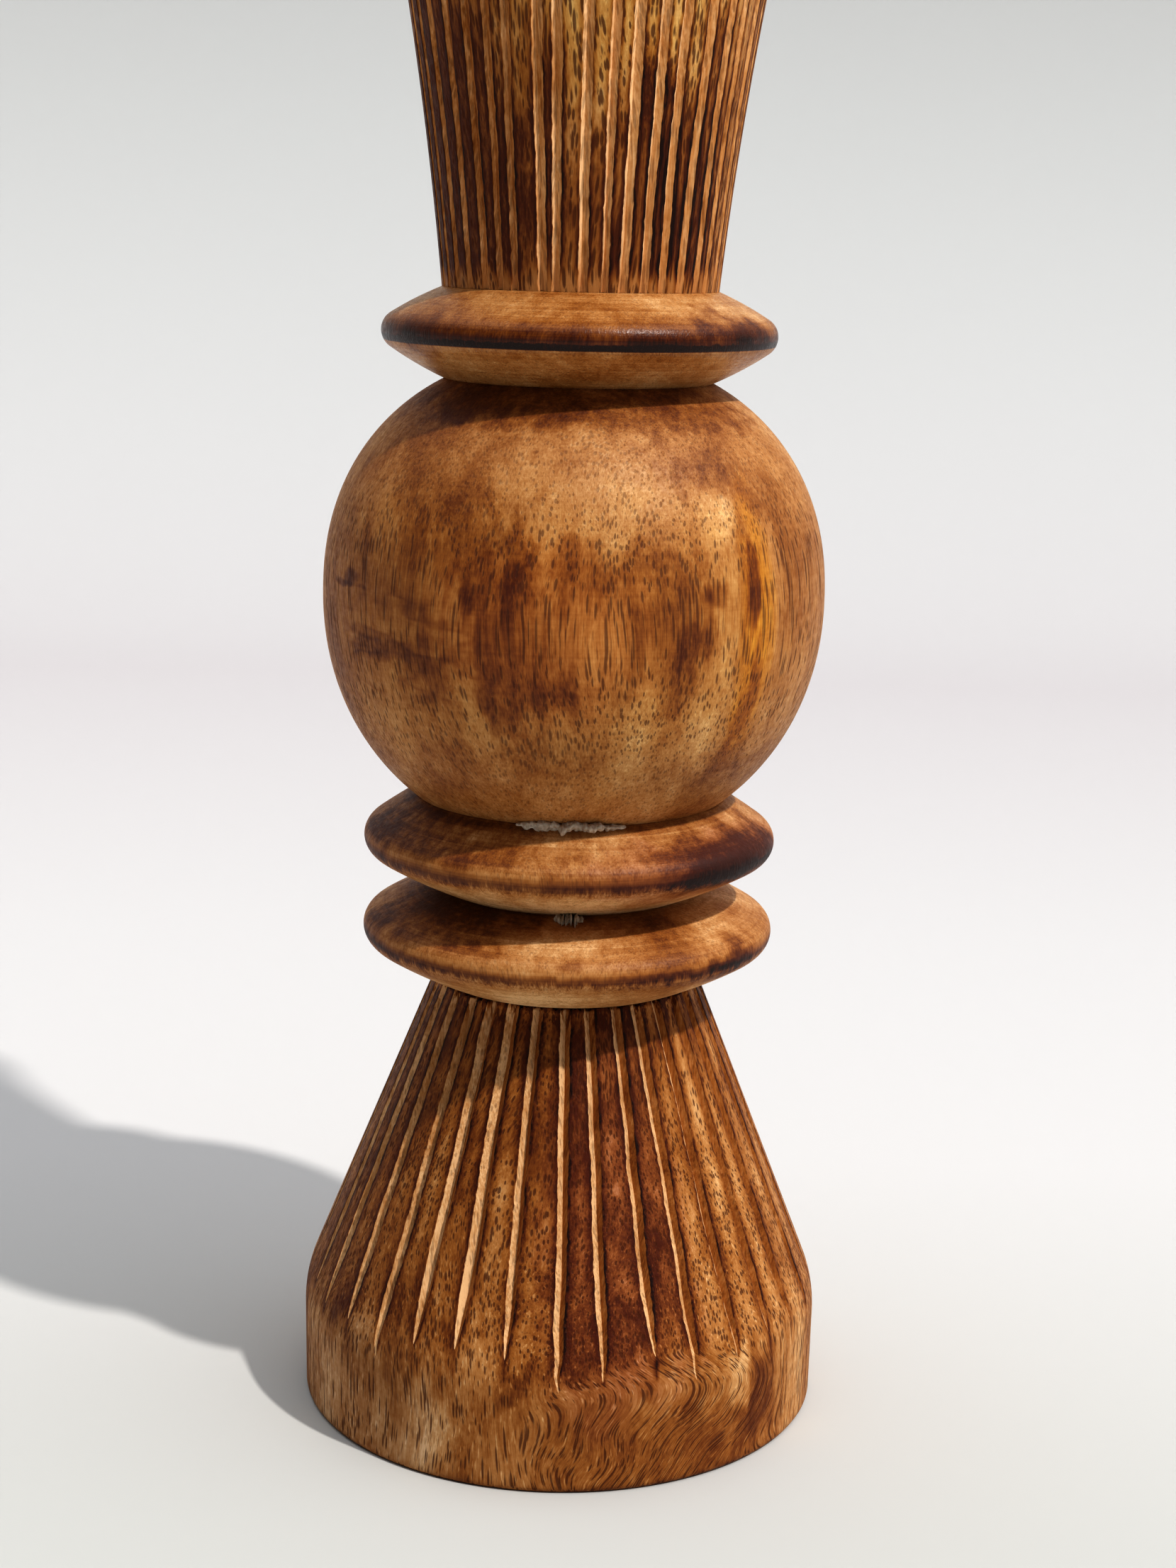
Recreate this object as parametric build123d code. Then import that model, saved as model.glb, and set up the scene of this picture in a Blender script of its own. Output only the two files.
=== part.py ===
from build123d import *
import os
from math import asin, cos, degrees, radians, sin, tan

# Large wooden chess queen: blocks turned on a lathe, fluted by hand, then glued together on dowels.
# Millimetres. The origin is the centre of the foot and +Z runs up the turning axis.

# Driving dimensions, from the foot upwards
FOOT_RADIUS = 50.0
FOOT_ROUND = 1.2
CREST_RADIUS = 50.2  # where the plain band turns into the cone
BAND_HEIGHT = 21.8
CREST_ROUND = 24.0
BASE_HEIGHT = 84.2
BASE_TOP_RADIUS = 25.2

LOWER_DISC_HEIGHT = 17.5
VALLEY_RADIUS = 24.5  # between the two lower discs
MIDDLE_DISC_HEIGHT = 17.9
DISC_EDGE_RADIUS = 41.8  # where the two faces of a disc would meet, before the rim is rounded
DISC_EDGE_HEIGHT = 9.3
DISC_RIM_ROUND = 3.6

BALL_HEIGHT = 77.3
BALL_RADIUS = 46.8
BALL_EQUATOR_HEIGHT = 38.0
BALL_FOOT_RADIUS = 29.3
BALL_TOP_RADIUS = 24.7
BALL_LOWER_POWER = 2.09  # 2 is a circle; more is a little squarer
BALL_UPPER_POWER = 2.20

COLLAR_HEIGHT = 16.5
COLLAR_EDGE_RADIUS = 38.9
COLLAR_EDGE_HEIGHT = 8.7

CORONET_HEIGHT = 111.6
CORONET_FOOT_RADIUS = 25.3
FLARE_RADIUS = 725.0  # of the long hollow curve up the side
FLARE_START = 5.42  # degrees from upright at the foot of the curve
BOWL_DEPTH = 8.0
BOWL_WALL = 7.5
SCALLOP_COUNT = 10
SCALLOP_RADIUS = 8.5
SCALLOP_DEPTH = 5.5

DOME_RADIUS = 35.5
DOME_HEIGHT = 38.0
FINIAL_DISC_HEIGHT = 12.0
FINIAL_DISC_EDGE_RADIUS = 19.5
FINIAL_NECK_RADIUS = 11.0
FINIAL_BALL_HEIGHT = 33.0
FINIAL_BALL_RADIUS = 17.0

# Fluting: vee grooves cut with a parting tool. Each cut starts in a point, at the crest or the plain rim
BASE_FLUTE_COUNT = 34
BASE_FLUTE_DEPTH = 1.3
CORONET_FLUTE_COUNT = 42
CORONET_FLUTE_DEPTH = 0.9
CORONET_FLUTE_TOP = 97.0  # above the coronet's foot, below its plain rim
FLUTE_ANGLE = 92.0
FLUTE_RUN_OUT = 12.0  # length of the pointed end
TOOL_REACH = 6.0  # height of the cutter's section, well clear of the wood

# Joinery
DOWEL_FIT = 0.1  # radial room for glue round a dowel
DOWEL_GLUE_ROOM = 1.0  # above a dowel's top
DOWEL_CHAMFER = 1.0
LOWER_DOWEL_RADIUS = 8.0
UPPER_DOWEL_RADIUS = 7.0
CROWN_DOWEL_RADIUS = 6.0
FINIAL_DOWEL_RADIUS = 4.0
LOWER_DOWEL_SINK = 24.0  # into the base, below its top
LOWER_DOWEL_RISE = 30.0  # into the ball
UPPER_DOWEL_SINK = 30.0
UPPER_DOWEL_RISE = 34.0
CROWN_DOWEL_SINK = 20.0
CROWN_DOWEL_RISE = 16.0
FINIAL_DOWEL_SINK = 13.0
FINIAL_DOWEL_RISE = 16.0

FELT_RADIUS = 42.0
FELT_THICKNESS = 2.0
FELT_GAP = 0.3

BEAD_RADIUS = 1.9  # glue squeezed out of a joint
BALL_BEAD_FROM, BALL_BEAD_TO = -18.0, 20.0  # degrees round from the front, +X side positive
DISC_BEAD_FROM, DISC_BEAD_TO = -5.0, 7.0

# Heights of the joints
LOWER_DISC_Z = BASE_HEIGHT
MIDDLE_DISC_Z = LOWER_DISC_Z + LOWER_DISC_HEIGHT
BALL_Z = MIDDLE_DISC_Z + MIDDLE_DISC_HEIGHT
COLLAR_Z = BALL_Z + BALL_HEIGHT
CORONET_Z = COLLAR_Z + COLLAR_HEIGHT
RIM_Z = CORONET_Z + CORONET_HEIGHT
DOME_Z = RIM_Z - BOWL_DEPTH
FINIAL_DISC_Z = DOME_Z + DOME_HEIGHT
FINIAL_BALL_Z = FINIAL_DISC_Z + FINIAL_DISC_HEIGHT
TOP_Z = FINIAL_BALL_Z + FINIAL_BALL_HEIGHT


def turned(*outline):
    """Revolves a closed outline of (radius, height) edges about the turning axis."""
    return revolve(Plane.XZ * make_face(Curve() + list(outline)), Axis.Z)


def bore(radius, bottom, top):
    return Pos(0, 0, bottom) * Cylinder(radius, top - bottom, align=(Align.CENTER, Align.CENTER, Align.MIN))


def dowel_bore(radius, bottom, top):
    return bore(radius + DOWEL_FIT, bottom, top)


def dowel(radius, bottom, top):
    rod = bore(radius, bottom, top)
    return chamfer(rod.edges().filter_by(GeomType.CIRCLE), DOWEL_CHAMFER)


def vee_section(depth_point, along):
    """The cutter's triangle: its tip at depth_point, opening outwards, square to the line of cut."""
    half = TOOL_REACH * tan(radians(FLUTE_ANGLE / 2))
    plane = Plane(origin=depth_point, x_dir=(along.Z, 0, -along.X), z_dir=along)
    return plane * make_face(Polyline((0, 0), (TOOL_REACH, half), (TOOL_REACH, -half), (0, 0)))


def straight_cut(start, end):
    """A vee cut whose bottom runs straight from start to end, both in the XZ plane."""
    along = Vector(*end) - Vector(*start)
    return extrude(vee_section(start, along.normalized()), along.length)


def around(shape, count):
    return [Rot(0, 0, 360 * (i + 0.5) / count) * shape for i in range(count)]


# --- The base: a plain band, and a fluted cone above it ---


def base_flute():
    crest = Vector(CREST_RADIUS, 0, BAND_HEIGHT)
    edge = Vector(BASE_TOP_RADIUS, 0, BASE_HEIGHT)
    up = (edge - crest).normalized()
    inward = Vector(-up.Z, 0, up.X) * BASE_FLUTE_DEPTH
    knee = crest + up * FLUTE_RUN_OUT + inward
    outside = crest + (crest - knee).normalized() * TOOL_REACH / 2
    return straight_cut(outside, knee) + straight_cut(knee, edge + up * TOOL_REACH + inward)


def fluted_base():
    foot_edge = (FOOT_RADIUS, 0)
    crest = (CREST_RADIUS, BAND_HEIGHT)
    top_edge = (BASE_TOP_RADIUS, BASE_HEIGHT)
    face = make_face(Polyline((0, 0), foot_edge, crest, top_edge, (0, BASE_HEIGHT), (0, 0)))
    face = fillet(face.vertices().sort_by_distance(crest)[0], CREST_ROUND)
    face = fillet(face.vertices().sort_by_distance(foot_edge)[0], FOOT_ROUND)
    body = revolve(Plane.XZ * face, Axis.Z)
    body -= around(base_flute(), BASE_FLUTE_COUNT)
    body -= bore(FELT_RADIUS + FELT_GAP, 0, FELT_THICKNESS)
    return body - dowel_bore(LOWER_DOWEL_RADIUS, BASE_HEIGHT - LOWER_DOWEL_SINK, BASE_HEIGHT)


def base_felt():
    return bore(FELT_RADIUS, 0, FELT_THICKNESS)


# --- Discs: two gently bulging faces that meet in a rounded rim ---


def lens(level, height, foot_radius, edge_radius, edge_height, top_radius, rim_round, bulges):
    low = (foot_radius, level)
    edge = (edge_radius, level + edge_height)
    high = (top_radius, level + height)
    under = SagittaArc(low, edge, -bulges[0])
    over = SagittaArc(edge, high, -bulges[1])
    inside = Polyline(high, (0, level + height), (0, level), low)
    face = make_face(Curve() + [under, over, inside])
    face = fillet(face.vertices().sort_by_distance(edge)[0], rim_round)
    return revolve(Plane.XZ * face, Axis.Z)


def lower_disc():
    body = lens(LOWER_DISC_Z, LOWER_DISC_HEIGHT, BASE_TOP_RADIUS, DISC_EDGE_RADIUS, DISC_EDGE_HEIGHT,
                VALLEY_RADIUS, DISC_RIM_ROUND, (0.5, 1.3))
    return body - dowel_bore(LOWER_DOWEL_RADIUS, LOWER_DISC_Z, MIDDLE_DISC_Z)


def middle_disc():
    body = lens(MIDDLE_DISC_Z, MIDDLE_DISC_HEIGHT, VALLEY_RADIUS, DISC_EDGE_RADIUS, DISC_EDGE_HEIGHT,
                BALL_FOOT_RADIUS, DISC_RIM_ROUND, (0.5, 0.2))
    return body - dowel_bore(LOWER_DOWEL_RADIUS, MIDDLE_DISC_Z, BALL_Z)


def collar_disc():
    body = lens(COLLAR_Z, COLLAR_HEIGHT, BALL_TOP_RADIUS, COLLAR_EDGE_RADIUS, COLLAR_EDGE_HEIGHT,
                CORONET_FOOT_RADIUS, DISC_RIM_ROUND, (0.55, 0.5))
    return body - dowel_bore(UPPER_DOWEL_RADIUS, COLLAR_Z, CORONET_Z)


def finial_disc():
    body = lens(FINIAL_DISC_Z, FINIAL_DISC_HEIGHT, FINIAL_NECK_RADIUS, FINIAL_DISC_EDGE_RADIUS,
                FINIAL_DISC_HEIGHT / 2, FINIAL_NECK_RADIUS, DISC_RIM_ROUND / 2, (0.3, 0.3))
    return body - dowel_bore(FINIAL_DOWEL_RADIUS, FINIAL_DISC_Z, FINIAL_BALL_Z)


# --- Balls: a superellipse on each side of the equator ---


def bulge_radius(rise, foot_radius, reach, equator_radius, power):
    """Radius at a height rise from the equator, of a curve that has foot_radius at height reach."""
    full_height = reach / (1 - (foot_radius / equator_radius) ** power) ** (1 / power)
    return equator_radius * (1 - (rise / full_height) ** power) ** (1 / power)


def ball():
    equator = BALL_Z + BALL_EQUATOR_HEIGHT
    upper_reach = BALL_HEIGHT - BALL_EQUATOR_HEIGHT
    steps = (1, 0.9, 0.75, 0.5, 0.25)
    points = []
    for step in steps:
        rise = step * BALL_EQUATOR_HEIGHT
        radius = bulge_radius(rise, BALL_FOOT_RADIUS, BALL_EQUATOR_HEIGHT, BALL_RADIUS, BALL_LOWER_POWER)
        points.append((radius, equator - rise))
    points.append((BALL_RADIUS, equator))
    for step in reversed(steps):
        rise = step * upper_reach
        radius = bulge_radius(rise, BALL_TOP_RADIUS, upper_reach, BALL_RADIUS, BALL_UPPER_POWER)
        points.append((radius, equator + rise))
    inside = Polyline(points[-1], (0, COLLAR_Z), (0, BALL_Z), points[0])
    body = turned(Spline(points), inside)
    body -= dowel_bore(LOWER_DOWEL_RADIUS, BALL_Z, BALL_Z + LOWER_DOWEL_RISE + DOWEL_GLUE_ROOM)
    return body - dowel_bore(UPPER_DOWEL_RADIUS, COLLAR_Z - UPPER_DOWEL_SINK, COLLAR_Z)


def finial_ball():
    middle = FINIAL_BALL_Z + FINIAL_BALL_HEIGHT - FINIAL_BALL_RADIUS
    flat_radius = (FINIAL_BALL_RADIUS**2 - (middle - FINIAL_BALL_Z) ** 2) ** 0.5
    side = ThreePointArc((flat_radius, FINIAL_BALL_Z), (FINIAL_BALL_RADIUS, middle), (0, TOP_Z))
    body = turned(side, Polyline((0, TOP_Z), (0, FINIAL_BALL_Z), (flat_radius, FINIAL_BALL_Z)))
    return body - dowel_bore(FINIAL_DOWEL_RADIUS, FINIAL_BALL_Z,
                             FINIAL_BALL_Z + FINIAL_DOWEL_RISE + DOWEL_GLUE_ROOM)


# --- The coronet: a fluted flare with a scalloped rim round a shallow bowl ---

FLARE_CENTRE = (CORONET_FOOT_RADIUS + FLARE_RADIUS * cos(radians(FLARE_START)),
                CORONET_Z - FLARE_RADIUS * sin(radians(FLARE_START)))


def flare_angle(height):
    """Degrees from upright of the flare's side at a height above the coronet's foot."""
    return degrees(asin(sin(radians(FLARE_START)) + height / FLARE_RADIUS))


def flare_point(height, depth=0.0):
    """The (radius, height) of a point that lies depth inside the flare's surface."""
    lean = radians(flare_angle(height))
    reach = FLARE_RADIUS + depth
    return (FLARE_CENTRE[0] - reach * cos(lean), FLARE_CENTRE[1] + reach * sin(lean))


def coronet_flute():
    start, end = -TOOL_REACH, CORONET_FLUTE_TOP - FLUTE_RUN_OUT
    first = flare_point(start, CORONET_FLUTE_DEPTH)
    knee = flare_point(end, CORONET_FLUTE_DEPTH)
    tip = flare_point(CORONET_FLUTE_TOP, -CORONET_FLUTE_DEPTH / 2)
    lean = radians(flare_angle(start))
    section = vee_section((first[0], 0, first[1]), Vector(sin(lean), 0, cos(lean)))
    axis = Axis((FLARE_CENTRE[0], 0, FLARE_CENTRE[1]), (0, 1, 0))
    curved = revolve(section, axis, flare_angle(end) - flare_angle(start))
    return curved + straight_cut((knee[0], 0, knee[1]), (tip[0], 0, tip[1]))


def fluted_coronet():
    foot, middle, rim = flare_point(0), flare_point(CORONET_HEIGHT / 2), flare_point(CORONET_HEIGHT)
    inner_radius = rim[0] - BOWL_WALL
    side = ThreePointArc(foot, middle, rim)
    inside = Polyline(rim, (inner_radius, RIM_Z), (inner_radius, DOME_Z), (0, DOME_Z), (0, CORONET_Z), foot)
    body = turned(side, inside)
    body -= around(coronet_flute(), CORONET_FLUTE_COUNT)
    notch_z = RIM_Z - SCALLOP_DEPTH + SCALLOP_RADIUS
    notch = Plane(origin=(inner_radius - BOWL_WALL, 0, notch_z), z_dir=(1, 0, 0)) * Cylinder(
        SCALLOP_RADIUS, 3 * BOWL_WALL, align=(Align.CENTER, Align.CENTER, Align.MIN))
    body -= around(notch, SCALLOP_COUNT)
    body -= dowel_bore(UPPER_DOWEL_RADIUS, CORONET_Z, CORONET_Z + UPPER_DOWEL_RISE + DOWEL_GLUE_ROOM)
    return body - dowel_bore(CROWN_DOWEL_RADIUS, DOME_Z - CROWN_DOWEL_SINK, DOME_Z)


def crown_dome():
    foot = (DOME_RADIUS, DOME_Z)
    shoulder = (FINIAL_NECK_RADIUS, FINIAL_DISC_Z)
    side = TangentArc(foot, shoulder, tangent=(0, 1))
    body = turned(side, Polyline(shoulder, (0, FINIAL_DISC_Z), (0, DOME_Z), foot))
    body -= dowel_bore(CROWN_DOWEL_RADIUS, DOME_Z, DOME_Z + CROWN_DOWEL_RISE + DOWEL_GLUE_ROOM)
    return body - dowel_bore(FINIAL_DOWEL_RADIUS, FINIAL_DISC_Z - FINIAL_DOWEL_SINK, FINIAL_DISC_Z)


# --- Dowels, each one standing on the floor of its lower bore ---


def lower_dowel():
    return dowel(LOWER_DOWEL_RADIUS, BASE_HEIGHT - LOWER_DOWEL_SINK, BALL_Z + LOWER_DOWEL_RISE)


def upper_dowel():
    return dowel(UPPER_DOWEL_RADIUS, COLLAR_Z - UPPER_DOWEL_SINK, CORONET_Z + UPPER_DOWEL_RISE)


def crown_dowel():
    return dowel(CROWN_DOWEL_RADIUS, DOME_Z - CROWN_DOWEL_SINK, DOME_Z + CROWN_DOWEL_RISE)


def finial_dowel():
    return dowel(FINIAL_DOWEL_RADIUS, FINIAL_DISC_Z - FINIAL_DOWEL_SINK, FINIAL_BALL_Z + FINIAL_DOWEL_RISE)


# --- Glue squeezed out of two joints, at the front ---


def glue_bead(radius, height, start, end, neighbours):
    """A round bead along part of a joint, less the wood on both sides of it."""
    section = Plane.XZ * Pos(radius, height) * Circle(BEAD_RADIUS)
    bead = revolve(section, Axis.Z, end - start)
    bead = Rot(0, 0, start - 90) * bead
    for neighbour in neighbours:
        bead -= neighbour
    return bead


parts = {
    "fluted_base": fluted_base(),
    "base_felt": base_felt(),
    "lower_disc": lower_disc(),
    "middle_disc": middle_disc(),
    "ball": ball(),
    "collar_disc": collar_disc(),
    "fluted_coronet": fluted_coronet(),
    "crown_dome": crown_dome(),
    "finial_disc": finial_disc(),
    "finial_ball": finial_ball(),
    "lower_dowel": lower_dowel(),
    "upper_dowel": upper_dowel(),
    "crown_dowel": crown_dowel(),
    "finial_dowel": finial_dowel(),
}
parts["ball_joint_glue"] = glue_bead(BALL_FOOT_RADIUS, BALL_Z, BALL_BEAD_FROM, BALL_BEAD_TO,
                                     (parts["ball"], parts["middle_disc"]))
parts["disc_joint_glue"] = glue_bead(VALLEY_RADIUS, MIDDLE_DISC_Z, DISC_BEAD_FROM, DISC_BEAD_TO,
                                     (parts["middle_disc"], parts["lower_disc"]))

os.makedirs("parts", exist_ok=True)
for name, shape in parts.items():
    export_step(shape, f"parts/{name}.step")
    print(name, round(shape.volume), "mm3", len(shape.solids()), "solid")
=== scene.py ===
import math

import bpy
import numpy as np
from mathutils import Matrix, Vector


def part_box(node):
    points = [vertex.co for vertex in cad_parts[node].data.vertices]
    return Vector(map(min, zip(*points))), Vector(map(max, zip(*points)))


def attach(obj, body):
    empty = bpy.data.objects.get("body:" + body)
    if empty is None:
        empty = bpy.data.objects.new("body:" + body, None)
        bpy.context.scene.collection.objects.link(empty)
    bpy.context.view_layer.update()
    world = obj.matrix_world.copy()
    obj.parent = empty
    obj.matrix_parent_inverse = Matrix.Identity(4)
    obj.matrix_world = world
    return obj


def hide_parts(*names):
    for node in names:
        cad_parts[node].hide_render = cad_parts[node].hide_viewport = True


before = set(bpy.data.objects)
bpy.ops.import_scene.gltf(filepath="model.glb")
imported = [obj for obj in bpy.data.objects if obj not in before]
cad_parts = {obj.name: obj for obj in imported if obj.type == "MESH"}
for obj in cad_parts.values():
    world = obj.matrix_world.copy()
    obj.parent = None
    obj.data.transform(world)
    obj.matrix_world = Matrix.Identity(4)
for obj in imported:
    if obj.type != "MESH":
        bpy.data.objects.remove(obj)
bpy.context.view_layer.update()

# Large wooden chess queen, turned and hand-fluted. Lengths are in millimetres: MM turns them into metres.
MM = 0.001
random = np.random.default_rng(34)

# Driving sizes of the turned shapes, as in the CAD
FOOT_RADIUS, FOOT_ROUND = 50.0, 1.2
CREST_RADIUS, CREST_HEIGHT, CREST_ROUND = 50.2, 21.8, 24.0
BASE_TOP_RADIUS, VALLEY_RADIUS = 25.2, 24.5
DISC_EDGE_RADIUS, DISC_EDGE_HEIGHT, DISC_RIM_ROUND = 41.8, 9.3, 3.6
LOWER_BULGES, MIDDLE_BULGES, COLLAR_BULGES, FINIAL_BULGES = (0.5, 1.3), (0.5, 0.2), (0.55, 0.5), (0.3, 0.3)
BALL_RADIUS, BALL_EQUATOR, BALL_FOOT_RADIUS, BALL_TOP_RADIUS = 46.8, 38.0, 29.3, 24.7
BALL_LOWER_POWER, BALL_UPPER_POWER = 2.09, 2.20
COLLAR_EDGE_RADIUS, COLLAR_EDGE_HEIGHT = 38.9, 8.7
CORONET_FOOT_RADIUS, FLARE_RADIUS, FLARE_START = 25.3, 725.0, math.radians(5.42)
BOWL_WALL, SCALLOP_COUNT, SCALLOP_RADIUS, SCALLOP_DEPTH = 7.5, 10, 8.5, 5.5
DOME_RADIUS, NECK_RADIUS = 35.5, 11.0
FINIAL_DISC_EDGE_RADIUS, FINIAL_BALL_RADIUS = 19.5, 17.0
LOWER_BORE, UPPER_BORE, CROWN_BORE, FINIAL_BORE = 8.1, 7.1, 6.1, 4.1
FELT_RECESS_RADIUS = 42.3
DOWEL_END_GAP = 1.0

# Flutes. Heights are above the foot of their piece
BASE_FLUTE_COUNT, CORONET_FLUTE_COUNT = 34, 42
BASE_FLUTE_TIPS = (19.0, 25.5)
CORONET_FLUTE_TOP = 97.0
HAND_SPREAD = (0.88, 1.12)
CHIP_DEPTH, CHIP_SPREAD = 0.18, 0.38

# Meshes. A groove's section lists (place across it, from -1 to 1, and share of its depth)
GROOVE_SECTION = (
    (-1.0, 0.0), (-0.86, 0.16), (-0.45, 0.58), (-0.05, 1.0),
    (0.08, 1.0), (0.5, 0.55), (0.88, 0.13), (1.0, 0.0),
)
NARROWEST_GROOVE, FAR_FROM_GROOVES = 0.03, 5.0
BASE_COLUMNS_PER_LAND, CORONET_COLUMNS_PER_LAND = 7, 5
EVEN_COLUMNS_BELOW, EVENING_REACH = 10.0, 8.0
BAND_STEP, CONE_STEP = 1.4, 0.5
LAND_STEP, FINE_LAND_STEP = 6.0, 3.0
SCALLOP_REACH = 14.0

# Camera, sun and sky
CAMERA_PLACE = (3.4, -471.7, 225.3)
CAMERA_PITCH = math.radians(-12.476)
CAMERA_ROLL = math.radians(1.307)
LENS, SENSOR = 58.31, 36.0
SUN_ELEVATION, SUN_AZIMUTH = math.radians(52.9), math.radians(50.8)
SUN_STRENGTH, SUN_WIDTH, SUN_COLOUR = 2.75, math.radians(2.0), (1.0, 0.985, 0.96)
SKY_BRIGHTEST = (0.22, 0.30, 0.93)
SKY_DIM, SKY_HORIZON, SKY_BRIGHT = (0.0, 0.0, 0.0, 1), (0.60, 0.60, 0.595, 1), (1.80, 1.90, 2.02, 1)
VIEW_GAMMA = 0.78


def span(node):
    """The (foot, top) heights of a CAD node."""
    low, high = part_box(node)
    return low.z / MM, high.z / MM


# --- Outlines: lists of (radius, height) from the foot upwards ---


def arc(centre, radius, start, end, steps):
    """Even points on an arc between two bearings."""
    angles = np.linspace(start, end, steps)
    return [(centre[0] + radius * math.cos(a), centre[1] + radius * math.sin(a)) for a in angles]


def bulging_arc(low, high, bulge):
    """Centre and radius of the circle through two points, with the outline bulging away from the axis."""
    low, high = np.array(low), np.array(high)
    chord = high - low
    length = np.hypot(*chord)
    radius = (length**2 / 4 + bulge**2) / (2 * bulge)
    inward = np.array([-chord[1], chord[0]]) / length
    return (low + high) / 2 + inward * (radius - bulge), radius


def bearing(point, centre):
    return math.atan2(point[1] - centre[1], point[0] - centre[0])


def lens_outline(low, edge, high, bulges, rim_round, steps=26, rim_steps=16):
    """Two bulging faces that meet near edge in a rounded rim, which touches both faces' circles."""
    c1, r1 = bulging_arc(low, edge, bulges[0])
    c2, r2 = bulging_arc(edge, high, bulges[1])
    a, b = r1 - rim_round, r2 - rim_round
    gap = np.hypot(*(c2 - c1))
    along = (c2 - c1) / gap
    step = (a**2 - b**2 + gap**2) / (2 * gap)
    side = np.array([along[1], -along[0]])
    rise = math.sqrt(a**2 - step**2)
    options = [c1 + along * step + side * rise * s for s in (1, -1)]
    centre = min(options, key=lambda c: np.hypot(*(c - np.array(edge))))
    turn1, turn2 = bearing(centre, c1), bearing(centre, c2)
    under = arc(c1, r1, bearing(low, c1), turn1, steps)
    rim = arc(centre, rim_round, turn1, turn2, rim_steps)
    over = arc(c2, r2, turn2, bearing(high, c2), steps)
    return under + rim[1:-1] + over


def rounded_corner(before, corner, after, radius, steps):
    """Points of the arc that rounds a corner between two straight runs."""
    corner = np.array(corner, float)
    u = np.array(before) - corner
    v = np.array(after) - corner
    u, v = u / np.hypot(*u), v / np.hypot(*v)
    half = math.acos(float(u @ v)) / 2
    middle = (u + v) / np.hypot(*(u + v))
    centre = corner + middle * radius / math.sin(half)
    start, end = corner + u * radius / math.tan(half), corner + v * radius / math.tan(half)
    a, b = bearing(start, centre), bearing(end, centre)
    if abs(b - a) > math.pi:
        b += math.copysign(2 * math.pi, a - b)
    return arc(centre, radius, a, b, steps)


def straight(start, end, step):
    """Even points on a straight run, about step apart."""
    count = max(2, int(math.dist(start, end) / step) + 1)
    return [tuple(p) for p in np.linspace(start, end, count)]


def superellipse(rise, foot_radius, reach, equator_radius, power):
    """Radius at a distance from the equator of a curve that narrows to foot_radius at reach."""
    full = reach / (1 - (foot_radius / equator_radius) ** power) ** (1 / power)
    return equator_radius * (1 - (rise / full) ** power) ** (1 / power)


def ball_outline(foot, height, rows=140):
    """Two superellipses, a fuller one above the equator."""
    points = []
    upper_reach = height - BALL_EQUATOR
    for rise in np.linspace(-BALL_EQUATOR, upper_reach, rows):
        if rise < 0:
            radius = superellipse(-rise, BALL_FOOT_RADIUS, BALL_EQUATOR, BALL_RADIUS, BALL_LOWER_POWER)
        else:
            radius = superellipse(rise, BALL_TOP_RADIUS, upper_reach, BALL_RADIUS, BALL_UPPER_POWER)
        points.append((radius, foot + BALL_EQUATOR + rise))
    return points


def flare_radius(rise):
    """Radius of the coronet's side at a height above its foot."""
    lean = math.asin(math.sin(FLARE_START) + rise / FLARE_RADIUS)
    return CORONET_FOOT_RADIUS + FLARE_RADIUS * (math.cos(FLARE_START) - math.cos(lean))


# --- Meshes of revolution ---


def ring_mesh(name, rings, poles=None, attributes=None):
    """Joins rings of points, shaped (rows, columns, 3), into a closed skin.

    Two poles close its ends. Without them the last ring meets the first. attributes has a grid for each name.
    """
    rows, columns = rings.shape[:2]
    points = rings.reshape(-1, 3)
    index = np.arange(rows * columns).reshape(rows, columns)
    following = np.roll(index, -1, axis=1)
    upper = index if poles is None else index[:-1]
    above = np.roll(index, -1, axis=0)[: len(upper)]
    above_following = np.roll(above, -1, axis=1)
    quads = np.stack([upper, following[: len(upper)], above_following, above], axis=-1).reshape(-1, 4)
    faces = quads.tolist()
    if poles is not None:
        first, last = rows * columns, rows * columns + 1
        points = np.vstack([points, poles])
        faces += [[first, b, a] for a, b in zip(index[0], following[0])]
        faces += [[last, a, b] for a, b in zip(index[-1], following[-1])]
    mesh = bpy.data.meshes.new(name)
    mesh.from_pydata(points * MM, [], faces)
    mesh.validate()
    for key, values in (attributes or {}).items():
        flat = np.zeros(len(points), np.float32)
        flat[: rows * columns] = values.reshape(-1)
        mesh.attributes.new(key, "FLOAT", "POINT").data.foreach_set("value", flat)
    piece = bpy.data.objects.new(name, mesh)
    bpy.context.scene.collection.objects.link(piece)
    return piece


def shade(piece, sharp_angle):
    piece.data.shade_smooth()
    piece.data.set_sharp_from_angle(angle=math.radians(sharp_angle))


def around(outline, columns):
    """(radius, angle, height) grids for an outline swept round the axis."""
    outline = np.array(outline)
    angles = np.linspace(-math.pi, math.pi, columns, endpoint=False)
    shape = (len(outline), columns)
    radius = np.broadcast_to(outline[:, :1], shape).copy()
    height = np.broadcast_to(outline[:, 1:], shape).copy()
    return radius, np.broadcast_to(angles, shape).copy(), height


def to_points(radius, angle, height):
    """Angle 0 is the front, -Y, and a positive angle turns towards +X."""
    return np.stack([radius * np.sin(angle), -radius * np.cos(angle), height], axis=-1)


def unevenness(angle, height, size):
    """A smooth, hand-made unevenness of about the given size, never outwards of 0."""
    total = np.zeros_like(angle)
    for turns, reach in ((1, 60.0), (2, 35.0), (3, 22.0), (5, 14.0)):
        phase, other = random.uniform(0, 2 * math.pi, 2)
        total += np.sin(turns * angle + phase + np.sin(height / reach + other)) / turns
    return -size * (1.6 - total) / 3


def foot_land(side, bore, step=LAND_STEP):
    """The flat underside of a block, from its bore out to its side."""
    return straight((bore, side[0][1]), side[0], step)[:-1]


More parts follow.
